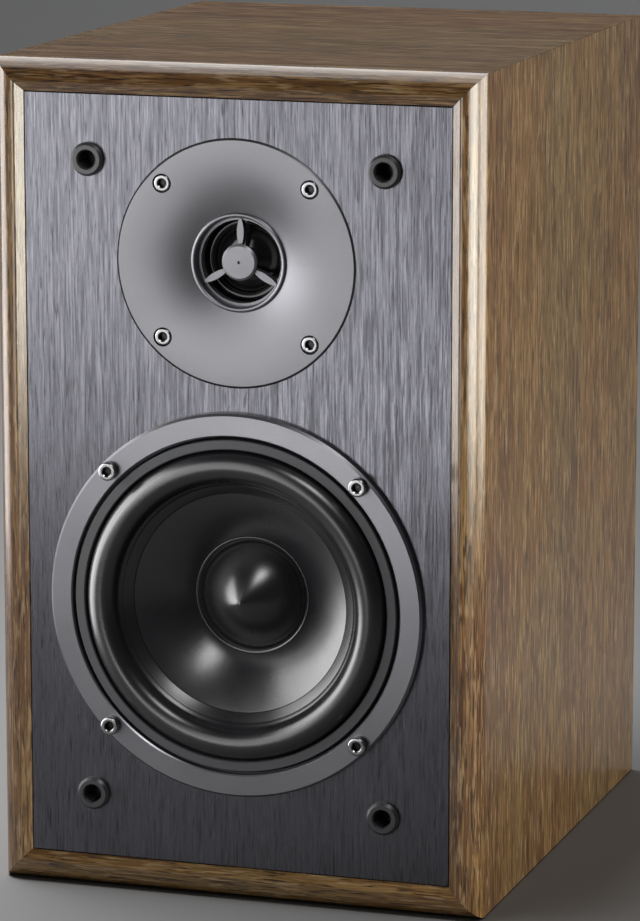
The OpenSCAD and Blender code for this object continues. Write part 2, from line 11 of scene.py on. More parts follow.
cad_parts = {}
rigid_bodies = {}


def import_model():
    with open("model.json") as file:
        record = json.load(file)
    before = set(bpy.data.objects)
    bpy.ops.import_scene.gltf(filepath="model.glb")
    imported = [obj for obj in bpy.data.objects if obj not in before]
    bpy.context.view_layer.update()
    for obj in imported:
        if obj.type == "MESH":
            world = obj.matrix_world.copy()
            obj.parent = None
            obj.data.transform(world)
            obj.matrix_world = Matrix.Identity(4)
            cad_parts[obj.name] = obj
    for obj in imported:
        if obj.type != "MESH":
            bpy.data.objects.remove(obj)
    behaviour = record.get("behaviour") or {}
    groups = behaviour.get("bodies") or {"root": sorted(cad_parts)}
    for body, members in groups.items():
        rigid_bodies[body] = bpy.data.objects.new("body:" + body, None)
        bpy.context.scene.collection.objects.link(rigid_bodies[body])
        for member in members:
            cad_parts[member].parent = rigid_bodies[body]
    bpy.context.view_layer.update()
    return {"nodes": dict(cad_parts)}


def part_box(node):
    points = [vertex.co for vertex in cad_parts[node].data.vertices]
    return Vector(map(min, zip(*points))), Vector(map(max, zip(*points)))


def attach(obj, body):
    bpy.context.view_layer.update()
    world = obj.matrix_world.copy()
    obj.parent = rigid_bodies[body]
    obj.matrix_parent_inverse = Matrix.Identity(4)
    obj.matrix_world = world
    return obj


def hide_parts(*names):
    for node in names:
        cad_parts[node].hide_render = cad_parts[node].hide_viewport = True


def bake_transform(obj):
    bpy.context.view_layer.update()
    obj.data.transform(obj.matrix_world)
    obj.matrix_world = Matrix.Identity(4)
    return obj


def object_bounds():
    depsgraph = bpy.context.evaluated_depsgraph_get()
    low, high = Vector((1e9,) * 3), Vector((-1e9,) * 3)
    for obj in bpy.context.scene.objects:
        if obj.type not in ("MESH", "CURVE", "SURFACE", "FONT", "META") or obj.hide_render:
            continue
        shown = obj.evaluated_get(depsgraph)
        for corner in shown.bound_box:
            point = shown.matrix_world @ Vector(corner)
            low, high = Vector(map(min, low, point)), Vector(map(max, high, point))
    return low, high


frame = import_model()
NODES = frame["nodes"]
MM = 0.001


# ---- Places taken from the frame ----

def middle(node):
    low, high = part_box(node)
    return (low + high) / 2


BAFFLE_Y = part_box("front_baffle")[0].y
RIDGE_TO_BACK = 0.230
RIDGE_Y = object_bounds()[1].y - RIDGE_TO_BACK
WOOFER_Z = middle("woofer_trim_ring").z
TWEETER_Z = middle("tweeter_faceplate").z
# The arc of the cone's front face in a half section, as radius and depth behind the baffle, in mm
CONE_ARC = 90
CONE_CENTRE = (86.21, 81.30)


# ---- Camera ----

CAMERA_LENS = 176.7
CAMERA_RIGHT = 0.5417
CAMERA_AHEAD = 1.5472
CAMERA_HEIGHT = 0.4946
CAMERA_YAW = 18.19
CAMERA_PITCH = -11.24


def add_camera():
    """The camera stands to the right and above, looking down and to the left."""
    data = bpy.data.cameras.new("camera")
    camera = bpy.data.objects.new("camera", data)
    bpy.context.scene.collection.objects.link(camera)
    data.sensor_width = 36
    data.lens = CAMERA_LENS
    data.clip_start = 0.05
    data.clip_end = 50
    camera.location = (CAMERA_RIGHT, RIDGE_Y - CAMERA_AHEAD, CAMERA_HEIGHT)
    yaw = math.radians(CAMERA_YAW)
    pitch = math.radians(CAMERA_PITCH)
    ahead = Vector((-math.sin(yaw) * math.cos(pitch), math.cos(yaw) * math.cos(pitch), math.sin(pitch)))
    camera.rotation_mode = "QUATERNION"
    camera.rotation_quaternion = ahead.to_track_quat("-Z", "Y")
    bpy.context.scene.camera = camera


# ---- Node material helpers ----

class Shade:
    """A material with one Principled shader, and short calls for the nodes that feed it."""

    def __init__(self, name, color=(0.5, 0.5, 0.5), roughness=0.5, metallic=0.0, specular=0.5,
                 sheen=0.0):
        self.material = bpy.data.materials.new(name)
        self.material.use_nodes = True
        self.tree = self.material.node_tree
        self.bsdf = self.tree.nodes["Principled BSDF"]
        self.set("Base Color", (*color, 1))
        self.set("Roughness", roughness)
        self.set("Metallic", metallic)
        self.set("Specular IOR Level", specular)
        self.set("Sheen Weight", sheen)
        self.height = None

    def set(self, socket, value):
        self.bsdf.inputs[socket].default_value = value

    def feed(self, socket, output):
        self.tree.links.new(output, self.bsdf.inputs[socket])

    def add(self, kind, inputs=None, **settings):
        made = self.tree.nodes.new(kind)
        for key, value in settings.items():
            setattr(made, key, value)
        for key, value in (inputs or {}).items():
            if isinstance(value, bpy.types.NodeSocket):
                self.tree.links.new(value, made.inputs[key])
            else:
                made.inputs[key].default_value = value
        return made

    def place(self, stretch=(1, 1, 1), offset=(0, 0, 0)):
        """The rest position in metres, stretched and moved."""
        coords = self.add("ShaderNodeTexCoord")
        return self.add("ShaderNodeMapping", {
            "Vector": coords.outputs["Object"], "Scale": stretch, "Location": offset,
        }).outputs["Vector"]

    def noise(self, vector, scale, detail=4.0, roughness=0.55, distortion=0.0):
        return self.add("ShaderNodeTexNoise", {
            "Vector": vector, "Scale": scale, "Detail": detail, "Roughness": roughness,
            "Distortion": distortion,
        }).outputs["Fac"]

    def ramp(self, value, stops):
        """Colours or greys between stops of (place, colour or grey)."""
        made = self.add("ShaderNodeValToRGB", {"Fac": value})
        elements = made.color_ramp.elements
        while len(elements) < len(stops):
            elements.new(0.5)
        for element, (where, tone) in zip(elements, stops):
            element.position = where
            element.color = (*tone, 1) if isinstance(tone, tuple) else (tone, tone, tone, 1)
        return made.outputs["Color"]

    def math(self, operation, a, b=0.0):
        return self.add("ShaderNodeMath", {0: a, 1: b}, operation=operation).outputs[0]

    def blend(self, factor, a, b):
        """Colour a under colour b, whose share is the factor."""
        made = self.add("ShaderNodeMix", data_type="RGBA")
        for index, value in ((0, factor), (6, a), (7, b)):
            if isinstance(value, bpy.types.NodeSocket):
                self.tree.links.new(value, made.inputs[index])
            elif index == 0:
                made.inputs[index].default_value = value
            else:
                made.inputs[index].default_value = (*value, 1)
        return made.outputs[2]

    def bump(self, height, strength=0.3, distance=0.0002):
        """Adds a bump on top of the bumps made before."""
        inputs = {"Height": height, "Strength": strength, "Distance": distance}
        if self.height is not None:
            inputs["Normal"] = self.height
        self.height = self.add("ShaderNodeBump", inputs).outputs["Normal"]
        self.feed("Normal", self.height)

    def vary(self, socket, value, low, high):
        """Feeds a socket with a grey between low and high."""
        self.feed(socket, self.ramp(value, [(0.25, low), (0.75, high)]))


# ---- Materials ----

def walnut(name, along, seed):
    """Walnut-look vinyl with its grain along one axis: bands, fine lines, pores and a satin finish."""
    s = Shade(name, roughness=0.21, specular=1.0)
    stretch = {"x": (0.036, 1, 1), "z": (1, 1, 0.036)}[along]

    def grain(scale, ease, detail=3.0, distortion=0.0):
        """Noise drawn out along the grain; a smaller ease draws it out further."""
        drawn = tuple(ease if v < 1 else 1 for v in stretch)
        return s.noise(s.place(drawn, offset=shift), scale, detail, 0.55, distortion)

    shift = (seed * 1.7, seed * 0.9, seed * 1.3)
    wander = grain(22, 0.12)
    bent = s.add("ShaderNodeVectorMath", {0: s.place(stretch, offset=shift), 1: s.add(
        "ShaderNodeCombineXYZ", {
            "X": s.math("MULTIPLY", wander, 0.010), "Y": s.math("MULTIPLY", wander, 0.010),
            "Z": s.math("MULTIPLY", wander, 0.006),
        }).outputs[0]}, operation="ADD").outputs[0]
    clouds = grain(12, 0.45, 2)
    bands = grain(30, 0.12, 3, 0.4)
    streaks = s.noise(bent, 320, 5, 0.66)
    fine = s.noise(bent, 1300, 3, 0.6)
    pores = grain(1500, 0.06, 2)
    flecks = grain(900, 0.10, 2)
    tone = s.ramp(clouds, [(0.30, (0.088, 0.032, 0.012)), (0.50, (0.116, 0.055, 0.016)),
                           (0.70, (0.100, 0.062, 0.023))])
    tone = s.blend(s.ramp(bands, [(0.34, 0.55), (0.50, 0.0)]), tone, (0.056, 0.026, 0.011))
    tone = s.blend(s.ramp(bands, [(0.52, 0.0), (0.70, 0.50)]), tone, (0.180, 0.104, 0.036))
    tone = s.blend(s.ramp(streaks, [(0.34, 0.50), (0.46, 0.10), (0.58, 0.0)]), tone,
                   (0.036, 0.017, 0.007))
    tone = s.blend(s.ramp(streaks, [(0.52, 0.0), (0.66, 0.40)]), tone, (0.240, 0.140, 0.050))
    tone = s.blend(s.ramp(fine, [(0.50, 0.0), (0.62, 0.60)]), tone, (0.260, 0.160, 0.066))
    tone = s.blend(s.ramp(pores, [(0.36, 0.85), (0.48, 0.0)]), tone, (0.018, 0.009, 0.005))
    tone = s.blend(s.ramp(flecks, [(0.56, 0.0), (0.66, 0.45)]), tone, (0.340, 0.240, 0.140))
    s.feed("Base Color", tone)
    s.vary("Roughness", streaks, 0.17, 0.25)
    s.bump(pores, 0.35, 0.00010)
    s.bump(fine, 0.12, 0.00006)
    return s.material


def baffle_foil():
    """Black metallised foil with an upright brushed grain."""
    s = Shade("baffle_foil", roughness=0.28, metallic=1.0)
    sway = s.noise(s.place((1, 1, 0.2)), 30, 2)
    lines = s.add("ShaderNodeVectorMath", {0: s.place((1, 1, 0.036)), 1: s.add(
        "ShaderNodeCombineXYZ", {"X": s.math("MULTIPLY", sway, 0.003)}).outputs[0]},
        operation="ADD").outputs[0]
    grain = s.noise(lines, 1300, 3, 0.6)
    dashes = s.noise(s.place((1, 1, 0.06)), 1700, 2, 0.5)
    clouds = s.noise(s.place((1, 1, 0.5)), 60, 3, 0.5)
    tone = s.ramp(grain, [(0.30, (0.064, 0.064, 0.071)), (0.70, (0.150, 0.148, 0.168))])
    tone = s.blend(s.ramp(dashes, [(0.30, 0.75), (0.42, 0.0)]), tone, (0.040, 0.040, 0.044))
    tone = s.blend(s.ramp(dashes, [(0.60, 0.0), (0.72, 0.4)]), tone, (0.190, 0.188, 0.213))
    s.feed("Base Color", tone)
    s.feed("Roughness", s.math("ADD", s.ramp(grain, [(0.34, 0.30), (0.62, 0.20)]),
                               s.math("MULTIPLY", clouds, 0.04)))
    s.bump(grain, 0.5, 0.00020)
    return s.material


def textured_plastic(name, color, roughness=0.45, grain=2600, depth=0.00004, specular=0.5):
    """Moulded plastic with a fine spark-eroded grain and faint darker clouds."""
    s = Shade(name, color, roughness, specular=specular)
    fine = s.noise(s.place(), grain, 3, 0.6)
    broad = s.noise(s.place(), 60, 3, 0.5)
    tone = s.blend(s.ramp(broad, [(0.3, 0.0), (0.8, 0.35)]), color, tuple(c * 0.8 for c in color))
    s.feed("Base Color", tone)
    s.vary("Roughness", broad, roughness - 0.05, roughness + 0.06)
    s.bump(fine, 0.3, depth)
    return s.material


def satin_lacquer(name, color, roughness=0.38, metallic=0.8):
    """Satin metallic lacquer: fine bright flakes and a slightly uneven sheen."""
    s = Shade(name, color, roughness, metallic)
    flake = s.noise(s.place(), 5200, 2, 0.5)
    cloud = s.noise(s.place(), 35, 4, 0.5)
    bright = tuple(min(1, c * 1.35) for c in color)
    s.feed("Base Color", s.blend(s.ramp(flake, [(0.45, 0.0), (0.75, 0.45)]), color, bright))
    s.vary("Roughness", cloud, roughness - 0.03, roughness + 0.04)
    s.bump(flake, 0.12, 0.00002)
    return s.material


def bare_metal(name, color, roughness=0.25, scratches=0.25):
    """Plated or ground metal with fine scratches and dull clouds, and painted shade that darkens its
    recesses.
    """
    s = Shade(name, color, roughness, 1.0)
    scratch = s.noise(s.place((1, 0.12, 1)), 2400, 3, 0.6)
    cloud = s.noise(s.place(), 240, 3, 0.55)
    tone = s.blend(s.ramp(cloud, [(0.4, 0.0), (0.8, 0.3)]), color, tuple(c * 0.72 for c in color))
    # Painted shade: ambient occlusion turns the colour near black in recesses such as the screws' hex
    # sockets
    depth = s.add("ShaderNodeAmbientOcclusion", {"Distance": 0.004}).outputs["AO"]
    s.feed("Base Color", s.blend(s.ramp(depth, [(0.50, 0.98), (0.90, 0.0)]), tone, (0.01, 0.01, 0.01)))
    s.vary("Roughness", scratch, roughness * 0.7, roughness * 1.4)
    s.bump(scratch, scratches, 0.00001)
    return s.material


def smooth_polymer(name, color, roughness, specular=0.5, rings=0.0, axis_z=0.0):
    """Satin moulded polymer or rubber; rings adds faint turned lines around a driver's axis."""
    s = Shade(name, color, roughness, specular=specular)
    cloud = s.noise(s.place(), 90, 3, 0.5)
    fine = s.noise(s.place(), 1800, 3, 0.6)
    s.feed("Base Color", s.blend(s.ramp(cloud, [(0.3, 0.0), (0.8, 0.5)]), color,
                                 tuple(c * 1.35 for c in color)))
    s.vary("Roughness", cloud, roughness - 0.02, roughness + 0.03)
    s.bump(fine, 0.10, 0.00002)
    if rings:
        around = s.add("ShaderNodeTexGradient", {"Vector": s.place((1, 0, 1), offset=(0, 0, -axis_z))},
                       gradient_type="SPHERICAL").outputs["Fac"]
        wave = s.math("SINE", s.math("MULTIPLY", around, 9000))
        s.bump(wave, rings, 0.00001)
    return s.material


def winding(name, color, axis, pitch=0.0006):
    """Enamelled wire wound in close turns, seen as fine ridges."""
    s = Shade(name, color, 0.28, 0.9)
    place = s.place()
    split = s.add("ShaderNodeSeparateXYZ", {0: place})
    turns = s.math("SINE", s.math("MULTIPLY", split.outputs[axis], 2 * math.pi / pitch))
    cloud = s.noise(place, 120, 3)
    s.feed("Base Color", s.blend(s.ramp(cloud, [(0.3, 0.0), (0.8, 0.6)]), color,
                                 tuple(c * 0.6 for c in color)))
    s.vary("Roughness", cloud, 0.22, 0.36)
    s.bump(turns, 0.7, 0.00015)
    return s.material


def woven(name, color, thread=0.0007, roughness=0.8):
    """Resin-dipped woven cloth."""
    s = Shade(name, color, roughness, sheen=0.2)
    place = s.place()
    split = s.add("ShaderNodeSeparateXYZ", {0: place})
    waves = [s.math("SINE", s.math("MULTIPLY", split.outputs[a], 2 * math.pi / thread)) for a in (0, 2)]
    weave = s.math("MULTIPLY", *waves)
    cloud = s.noise(place, 150, 3)
    tone = s.ramp(weave, [(0.2, tuple(c * 0.6 for c in color)), (0.8, color)])
    s.feed("Base Color", s.blend(s.ramp(cloud, [(0.4, 0.0), (0.8, 0.4)]), tone,
                                 tuple(c * 0.7 for c in color)))
    s.vary("Roughness", cloud, roughness - 0.1, roughness)
    s.bump(weave, 0.6, 0.0002)
    return s.material


def fleece():
    """Loose white polyester fibres."""
    s = Shade("fleece", (0.8, 0.78, 0.72), 0.95, sheen=0.5)
    fibre = s.noise(s.place((1, 0.3, 1)), 700, 6, 0.7, 1.5)
    lumps = s.noise(s.place(), 60, 4, 0.6)
    s.feed("Base Color", s.blend(s.ramp(fibre, [(0.3, 0.0), (0.7, 1.0)]), (0.55, 0.53, 0.48),
                                 (0.86, 0.84, 0.79)))
    s.vary("Roughness", lumps, 0.88, 0.98)
    s.bump(fibre, 0.8, 0.0008)
    return s.material


def board_material(name, color, speck):
    """Phenolic or ceramic board with small specks."""
    s = Shade(name, color, 0.55)
    grit = s.noise(s.place(), 900, 4, 0.65)
    cloud = s.noise(s.place(), 70, 3)
    tone = s.blend(s.ramp(grit, [(0.45, 0.0), (0.7, 0.8)]), color, speck)
    s.feed("Base Color", s.blend(s.ramp(cloud, [(0.3, 0.0), (0.8, 0.3)]), tone,
                                 tuple(c * 0.75 for c in color)))
    s.vary("Roughness", grit, 0.45, 0.68)
    s.bump(grit, 0.3, 0.00006)
    return s.material


def floor_material():
    """Pale matt floor with painted shade: darker around the middle, where the speaker stands, and
    lighter away from it.
    """
    s = Shade("floor", (0.4, 0.4, 0.4), 0.7, specular=0.2)
    soft = s.noise(s.place(), 6, 4, 0.5)
    # Painted shade: a spherical falloff that darkens the floor around the speaker
    ring = s.add("ShaderNodeTexGradient", {"Vector": s.place((0.4, 0.4, 0.4))},
                 gradient_type="SPHERICAL").outputs["Fac"]
    tone = s.ramp(ring, [(0.15, (0.62, 0.62, 0.62)), (0.75, (0.30, 0.30, 0.302))])
    s.feed("Base Color", s.blend(s.math("MULTIPLY", soft, 0.1), tone, (0.45, 0.45, 0.44)))
    return s.material


COPPER = (0.75, 0.36, 0.18)
MATERIALS = {
    "baffle": baffle_foil(),
    "back": textured_plastic("back_vinyl", (0.020, 0.020, 0.021), 0.5, 1500, 0.00008),
    "plastic": textured_plastic("black_plastic", (0.022, 0.022, 0.024), 0.36),
    "cup": textured_plastic("cup_plastic", (0.020, 0.020, 0.021), 0.42, 1900, 0.00006),
    "satin": satin_lacquer("satin_trim", (0.180, 0.180, 0.192), 0.30, 0.92),
    "plate": satin_lacquer("satin_plate", (0.136, 0.136, 0.145), 0.33, 0.92),
    "plug": satin_lacquer("plug_silver", (0.16, 0.16, 0.17), 0.38),
    "steel_black": textured_plastic("black_steel", (0.018, 0.018, 0.018), 0.4, 1200, 0.00005),
    "foam": textured_plastic("foam_gasket", (0.02, 0.02, 0.02), 0.85, 1200, 0.0002, 0.3),
    "gasket": textured_plastic("grey_gasket", (0.030, 0.030, 0.033), 0.50, 2200),
    "roll": smooth_polymer("roll_rubber", (0.0050, 0.0050, 0.0060), 0.28, 0.8),
    "cone": smooth_polymer("cone_polymer", (0.0080, 0.0080, 0.0092), 0.28, 0.85, rings=0.05,
                           axis_z=WOOFER_Z),
    "cap": smooth_polymer("cap_polymer", (0.0070, 0.0070, 0.0080), 0.26, 0.85),
    "dome": smooth_polymer("dome_silk", (0.006, 0.006, 0.006), 0.12),
    "nickel": bare_metal("nickel_screw", (0.28, 0.28, 0.285), 0.24),
    "zinc": bare_metal("zinc_steel", (0.52, 0.53, 0.54), 0.34, 0.4),
    "gold": bare_metal("gold_plate", (0.85, 0.62, 0.28), 0.18),
    "black_screw": bare_metal("black_screw", (0.05, 0.05, 0.052), 0.35),
    "ferrite": board_material("ferrite", (0.045, 0.045, 0.048), (0.02, 0.02, 0.022)),
    "phenolic": board_material("phenolic", (0.22, 0.11, 0.05), (0.12, 0.06, 0.03)),
    "pcb": board_material("pcb", (0.42, 0.32, 0.16), (0.30, 0.22, 0.10)),
    "cement": board_material("cement", (0.72, 0.71, 0.67), (0.5, 0.5, 0.47)),
    "spider": woven("spider_cloth", (0.55, 0.40, 0.18)),
    "paper": board_material("former_paper", (0.45, 0.38, 0.27), (0.35, 0.29, 0.2)),
    "coil_black": winding("coil_black", (0.030, 0.020, 0.014), 1, 0.0003),
    "coil_y": winding("coil_copper", COPPER, 1, 0.0003),
    "coil_z": winding("inductor_copper", COPPER, 2, 0.0012),
    "coil_x": winding("inductor_copper_x", COPPER, 0, 0.0010),
    "lead": winding("tinsel_copper", COPPER, 0, 0.0004),
    "capacitor": smooth_polymer("capacitor_film", (0.50, 0.08, 0.03), 0.25),
    "red": textured_plastic("red_plastic", (0.40, 0.012, 0.012), 0.3, 2600, 0.00002),
    "grip": textured_plastic("black_grip", (0.018, 0.018, 0.018), 0.3, 2600, 0.00002),
    "red_wire": smooth_polymer("red_insulation", (0.42, 0.015, 0.012), 0.42),
    "black_wire": smooth_polymer("black_insulation", (0.02, 0.02, 0.02), 0.42),
    "fleece": fleece(),
    "floor": floor_material(),
}
BOARDS = ("left_side_panel", "right_side_panel", "top_panel", "bottom_panel")
for seed, board in enumerate(BOARDS, 1):
    MATERIALS[board] = walnut(f"walnut_{board}", "z" if "side" in board else "x", seed)

NODE_LOOKS = {
    "front_baffle": "baffle", "back_panel": "back", "grille_sockets": "plastic",
    "woofer_trim_ring": "satin", "woofer_basket": "steel_black", "woofer_seal_gasket": "foam",
    "woofer_gasket_ring": "gasket", "woofer_cone": "cone", "woofer_dust_cap": "cap",
    "woofer_coil_former": "paper", "woofer_coil_winding": "coil_y", "woofer_top_plate": "zinc",
    "woofer_magnet": "ferrite", "woofer_yoke": "zinc", "woofer_terminal_strip": "phenolic",
    "woofer_solder_tags": "gold", "woofer_screws": "nickel", "tweeter_faceplate": "plate",
    "tweeter_phase_plug": "plug", "tweeter_dome": "dome", "tweeter_coil_former": "plastic",
    "tweeter_coil_winding": "coil_black", "tweeter_diaphragm_ring": "plastic",
    "tweeter_top_plate": "zinc", "tweeter_magnet": "ferrite", "tweeter_yoke": "zinc",
    "tweeter_solder_tags": "gold", "tweeter_gasket": "foam", "tweeter_screws": "nickel",
    "crossover_board": "pcb", "woofer_inductor": "coil_z", "tweeter_inductor": "coil_x",
    "crossover_capacitors": "capacitor", "crossover_resistor": "cement",
    "crossover_standoffs": "plastic", "crossover_screws": "zinc", "port_tube": "plastic",
    "terminal_cup": "cup", "terminal_cup_screws": "black_screw", "post_studs": "gold",
    "post_nuts": "zinc", "post_solder_tags": "gold", "red_post_collar": "red",
    "black_post_collar": "grip", "red_post_washer": "gold", "black_post_washer": "gold",
    "red_post_knob": "red", "black_post_knob": "grip", "left_side_panel": "left_side_panel",
    "right_side_panel": "right_side_panel", "top_panel": "top_panel", "bottom_panel": "bottom_panel",
}


def dress_nodes():
    """Gives each CAD node listed in NODE_LOOKS its material."""
    for node, look in NODE_LOOKS.items():
        mesh = NODES[node].data
        mesh.materials.clear()
        mesh.materials.append(MATERIALS[look])


# ---- Mesh helpers ----

def new_piece(name, mesh, look):
    """A linked object with its material, slot and smooth faces."""
    mesh.polygons.foreach_set("use_smooth", [True] * len(mesh.polygons))
    piece = bpy.data.objects.new(name, mesh)
    bpy.context.scene.collection.objects.link(piece)
    mesh.materials.append(MATERIALS[look])
    return piece


def face_outwards(mesh):
    """Turns every face's normal to the outside."""
    turned = bmesh.new()
    turned.from_mesh(mesh)
    bmesh.ops.recalc_face_normals(turned, faces=turned.faces)
    turned.to_mesh(mesh)
    turned.free()


def lathe(name, outline, axis_z, segments=192):
    """A closed outline of (radius, depth behind the baffle face) in mm, turned about a driver's axis."""
    mesh = bpy.data.meshes.new(name)
    count = len(outline)
    points = []
    for i in range(segments):
        angle = 2 * math.pi * i / segments
        points += [(r * MM * math.cos(angle), BAFFLE_Y + d * MM, axis_z + r * MM * math.sin(angle))
                   for r, d in outline]
    faces = []
    for i in range(segments):
        here, there = i * count, (i + 1) % segments * count
        faces += [(here + k, here + (k + 1) % count, there + (k + 1) % count, there + k)
                  for k in range(count)]
    mesh.from_pydata(points, [], faces)
    face_outwards(mesh)
    return mesh


def arc(centre, radius, start, end, steps):
    """Points on an arc in degrees; 0 points outwards from the axis and 90 to the front."""
    made = []
    for i in range(steps + 1):
        angle = math.radians(start + (end - start) * i / steps)
        made.append((centre[0] + radius * math.cos(angle), centre[1] - radius * math.sin(angle)))
    return made


def blend_radially(piece):
    """Bakes the piece's placement into its mesh; nothing here makes it follow the cabinet or the moving
    body.
    """
    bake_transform(piece)


def cone_depth(radius):
    """Depth of the cone's front face at a radius, both in mm."""
    return CONE_CENTRE[1] - math.sqrt(CONE_ARC ** 2 - (radius - CONE_CENTRE[0]) ** 2)


# ---- The flexible parts of the woofer and the tweeter ----

# The surround, in mm: the roll's middle radius, its own radius and its thickness, then the radii
# where its clamped lip, its foot and its glued lip end
ROLL_MID = 52.9
ROLL_R = 5.75
ROLL_T = 0.7
LIP_OUT = 63.9
FOOT_R = 45.4
LIP_END = 41.8
# How far a glued part's hidden face stands in front of the cone, in mm
GLUE = 0.02


def add_surround():
    """Half-roll rubber surround with a glued lip on the cone."""
    base = -ROLL_T / 2
    front = [(LIP_OUT, 0), (LIP_OUT, -ROLL_T), (59.6, -ROLL_T), (59.1, -ROLL_T - 0.1)]
    front += arc((ROLL_MID, base - 0.5), ROLL_R, 8, 168, 40)
    foot = [(47.0, cone_depth(47.0) - 1.25), (46.4, cone_depth(46.4) - 1.05),
            (45.7, cone_depth(45.7) - 0.85), (FOOT_R, cone_depth(FOOT_R) - 0.55),
            (FOOT_R - 0.25, cone_depth(FOOT_R - 0.25) - 0.42)]
    lip = [(LIP_END + 0.3, cone_depth(LIP_END + 0.3) - 0.36), (LIP_END, cone_depth(LIP_END) - 0.12),
           (LIP_END, cone_depth(LIP_END) - GLUE)]
    back = [(FOOT_R, cone_depth(FOOT_R) - GLUE), (47.3, cone_depth(47.3) - GLUE)]
    inside = arc((ROLL_MID, base - 0.5), ROLL_R - ROLL_T, 165, 10, 40)
    mesh = lathe("surround_roll", front + foot + lip + back + inside + [(58.6, 0)], WOOFER_Z, 256)
    piece = new_piece("surround_roll", mesh, "roll")
    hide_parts("woofer_surround")
    blend_radially(piece)


def add_cap_ring():
    """Moulded foot of the dust cap and its line of glue on the cone."""
    def on_cone(r, lift):
        return (r, cone_depth(r) - lift)
    outline = [on_cone(20.2, 0.75), on_cone(20.8, 0.95), on_cone(21.5, 0.9), on_cone(22.1, 0.62),
               on_cone(22.45, 0.25), on_cone(22.5, GLUE), on_cone(20.2, GLUE)]
    piece = new_piece("dust_cap_foot", lathe("dust_cap_foot", outline, WOOFER_Z), "cap")
    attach(piece, "woofer_cone_assembly")


def add_spider():
    """Corrugated suspension disc between the coil former and the basket's ledge."""
    low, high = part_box("woofer_spider")
    mid = (low.y + high.y) / 2 / MM - BAFFLE_Y / MM
    inner, outer, rim, pitch, swing, thick = 12.9, 37.0, 40.7, 4.8, 0.8, 0.4
    steps = 96
    wave = []
    for i in range(steps + 1):
        r = inner + (outer - inner) * i / steps
        wave.append((r, mid + swing * math.sin(2 * math.pi * (r - inner) / pitch)))
    front = wave + [(rim, wave[-1][1])]
    back = [(r, d + thick) for r, d in reversed(front)]
    piece = new_piece("spider_cloth", lathe("spider_cloth", front + back, WOOFER_Z, 160), "spider")
    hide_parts("woofer_spider")
    blend_radially(piece)


def add_tweeter_surround():
    """Small half-roll between the dome and its mounting ring."""
    seat, mid, thick = 13.75, 14.2, 0.25
    outline = [(20.4, seat), (20.4, seat - thick), (16.0, seat - thick)]
    outline += arc((mid, seat), 1.55, 15, 178, 20)
    outline += arc((mid, seat), 1.3, 178, 15, 20)
    outline += [(15.6, seat)]
    piece = new_piece("tweeter_roll", lathe("tweeter_roll", outline, TWEETER_Z), "dome")
    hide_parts("tweeter_surround")
    blend_radially(piece)


def tube(name, route, radius, sides=16, per_span=10):
    """A smooth tube mesh through the points of a route."""
    smooth = []
    last = len(route) - 1
    for i in range(last):
        p0, p1, p2, p3 = (Vector(route[min(max(k, 0), last)]) for k in range(i - 1, i + 3))
        for j in range(per_span):
            t = j / per_span
            smooth.append(0.5 * (2 * p1 + (p2 - p0) * t + (2 * p0 - 5 * p1 + 4 * p2 - p3) * t * t
                                 + (3 * p1 - p0 - 3 * p2 + p3) * t ** 3))
    smooth.append(Vector(route[-1]))
    points, faces = [], []
    side = Vector((1, 0.13, 0.07))
    for i, point in enumerate(smooth):
        ahead = (smooth[min(i + 1, len(smooth) - 1)] - smooth[max(i - 1, 0)]).normalized()
        u = side.cross(ahead).normalized()
        v = ahead.cross(u)
        side = v.cross(ahead) if i == 0 else side
        for k in range(sides):
            angle = 2 * math.pi * k / sides
            points.append(point + radius * (math.cos(angle) * u + math.sin(angle) * v))
    for i in range(len(smooth) - 1):
        for k in range(sides):
            a, b = i * sides + k, i * sides + (k + 1) % sides
            faces.append((a, b, b + sides, a + sides))
    faces.append(tuple(range(sides - 1, -1, -1)))
    faces.append(tuple(len(points) - sides + k for k in range(sides)))
    mesh = bpy.data.meshes.new(name)
    mesh.from_pydata([tuple(p) for p in points], [], faces)
    face_outwards(mesh)
    return mesh


def join_meshes(name, meshes):
    """One mesh with the faces of several."""
    joined = bmesh.new()
    for mesh in meshes:
        joined.from_mesh(mesh)
    made = bpy.data.meshes.new(name)
    joined.to_mesh(made)
    joined.free()
    return made


# Routes as sideways, depth behind the ridge and height, in mm, for the wire on the right
INPUT_ROUTE = [(15, 197.6, 76), (15, 193, 70), (16, 185, 55), (17, 177, 40), (18, 170, 29),
               (18, 164, 23)]
WOOFER_ROUTE = [(10, 97, 23), (10, 88, 27), (9, 72, 38), (8, 54, 46), (7, 42, 51), (6, 36.4, 58.5)]
TWEETER_ROUTE = [(40, 130, 23), (40, 133, 40), (38, 130, 80), (32, 122, 125), (24, 108, 165),
                 (15, 84, 190), (9, 55, 198), (7, 30, 202), (7, 18.05, 208.5)]
# The lead's route as sideways, below the woofer's axis and depth behind the baffle, in mm
LEAD_ROUTE = [(4, 19, 22.6), (6, 26, 22.2), (9, 34, 22.6), (10.5, 41, 23.4), (10.5, 46.5, 24.4),
              (9.5, 51, 27), (8.5, 53, 30), (8, 53.5, 32.2)]


WIRE_R = 0.9 * MM
LEAD_R = 0.6 * MM


def add_wires():
    """Red and black insulated wires between the posts, the crossover and both drivers."""
    for name, look, slot, side in (("red_wire_pair", "red_wire", "red_insulation", -1),
                                   ("black_wire_pair", "black_wire", "black_insulation", 1)):
        meshes = []
        for route in (INPUT_ROUTE, WOOFER_ROUTE, TWEETER_ROUTE):
            points = [(side * x * MM, RIDGE_Y + y * MM, z * MM) for x, y, z in route]
            meshes.append(tube(name, points, WIRE_R, 12, 8))
        piece = new_piece(name, join_meshes(name, meshes), look)
        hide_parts(name.replace("_wire_pair", "_wires"))
        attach(piece, "speaker")


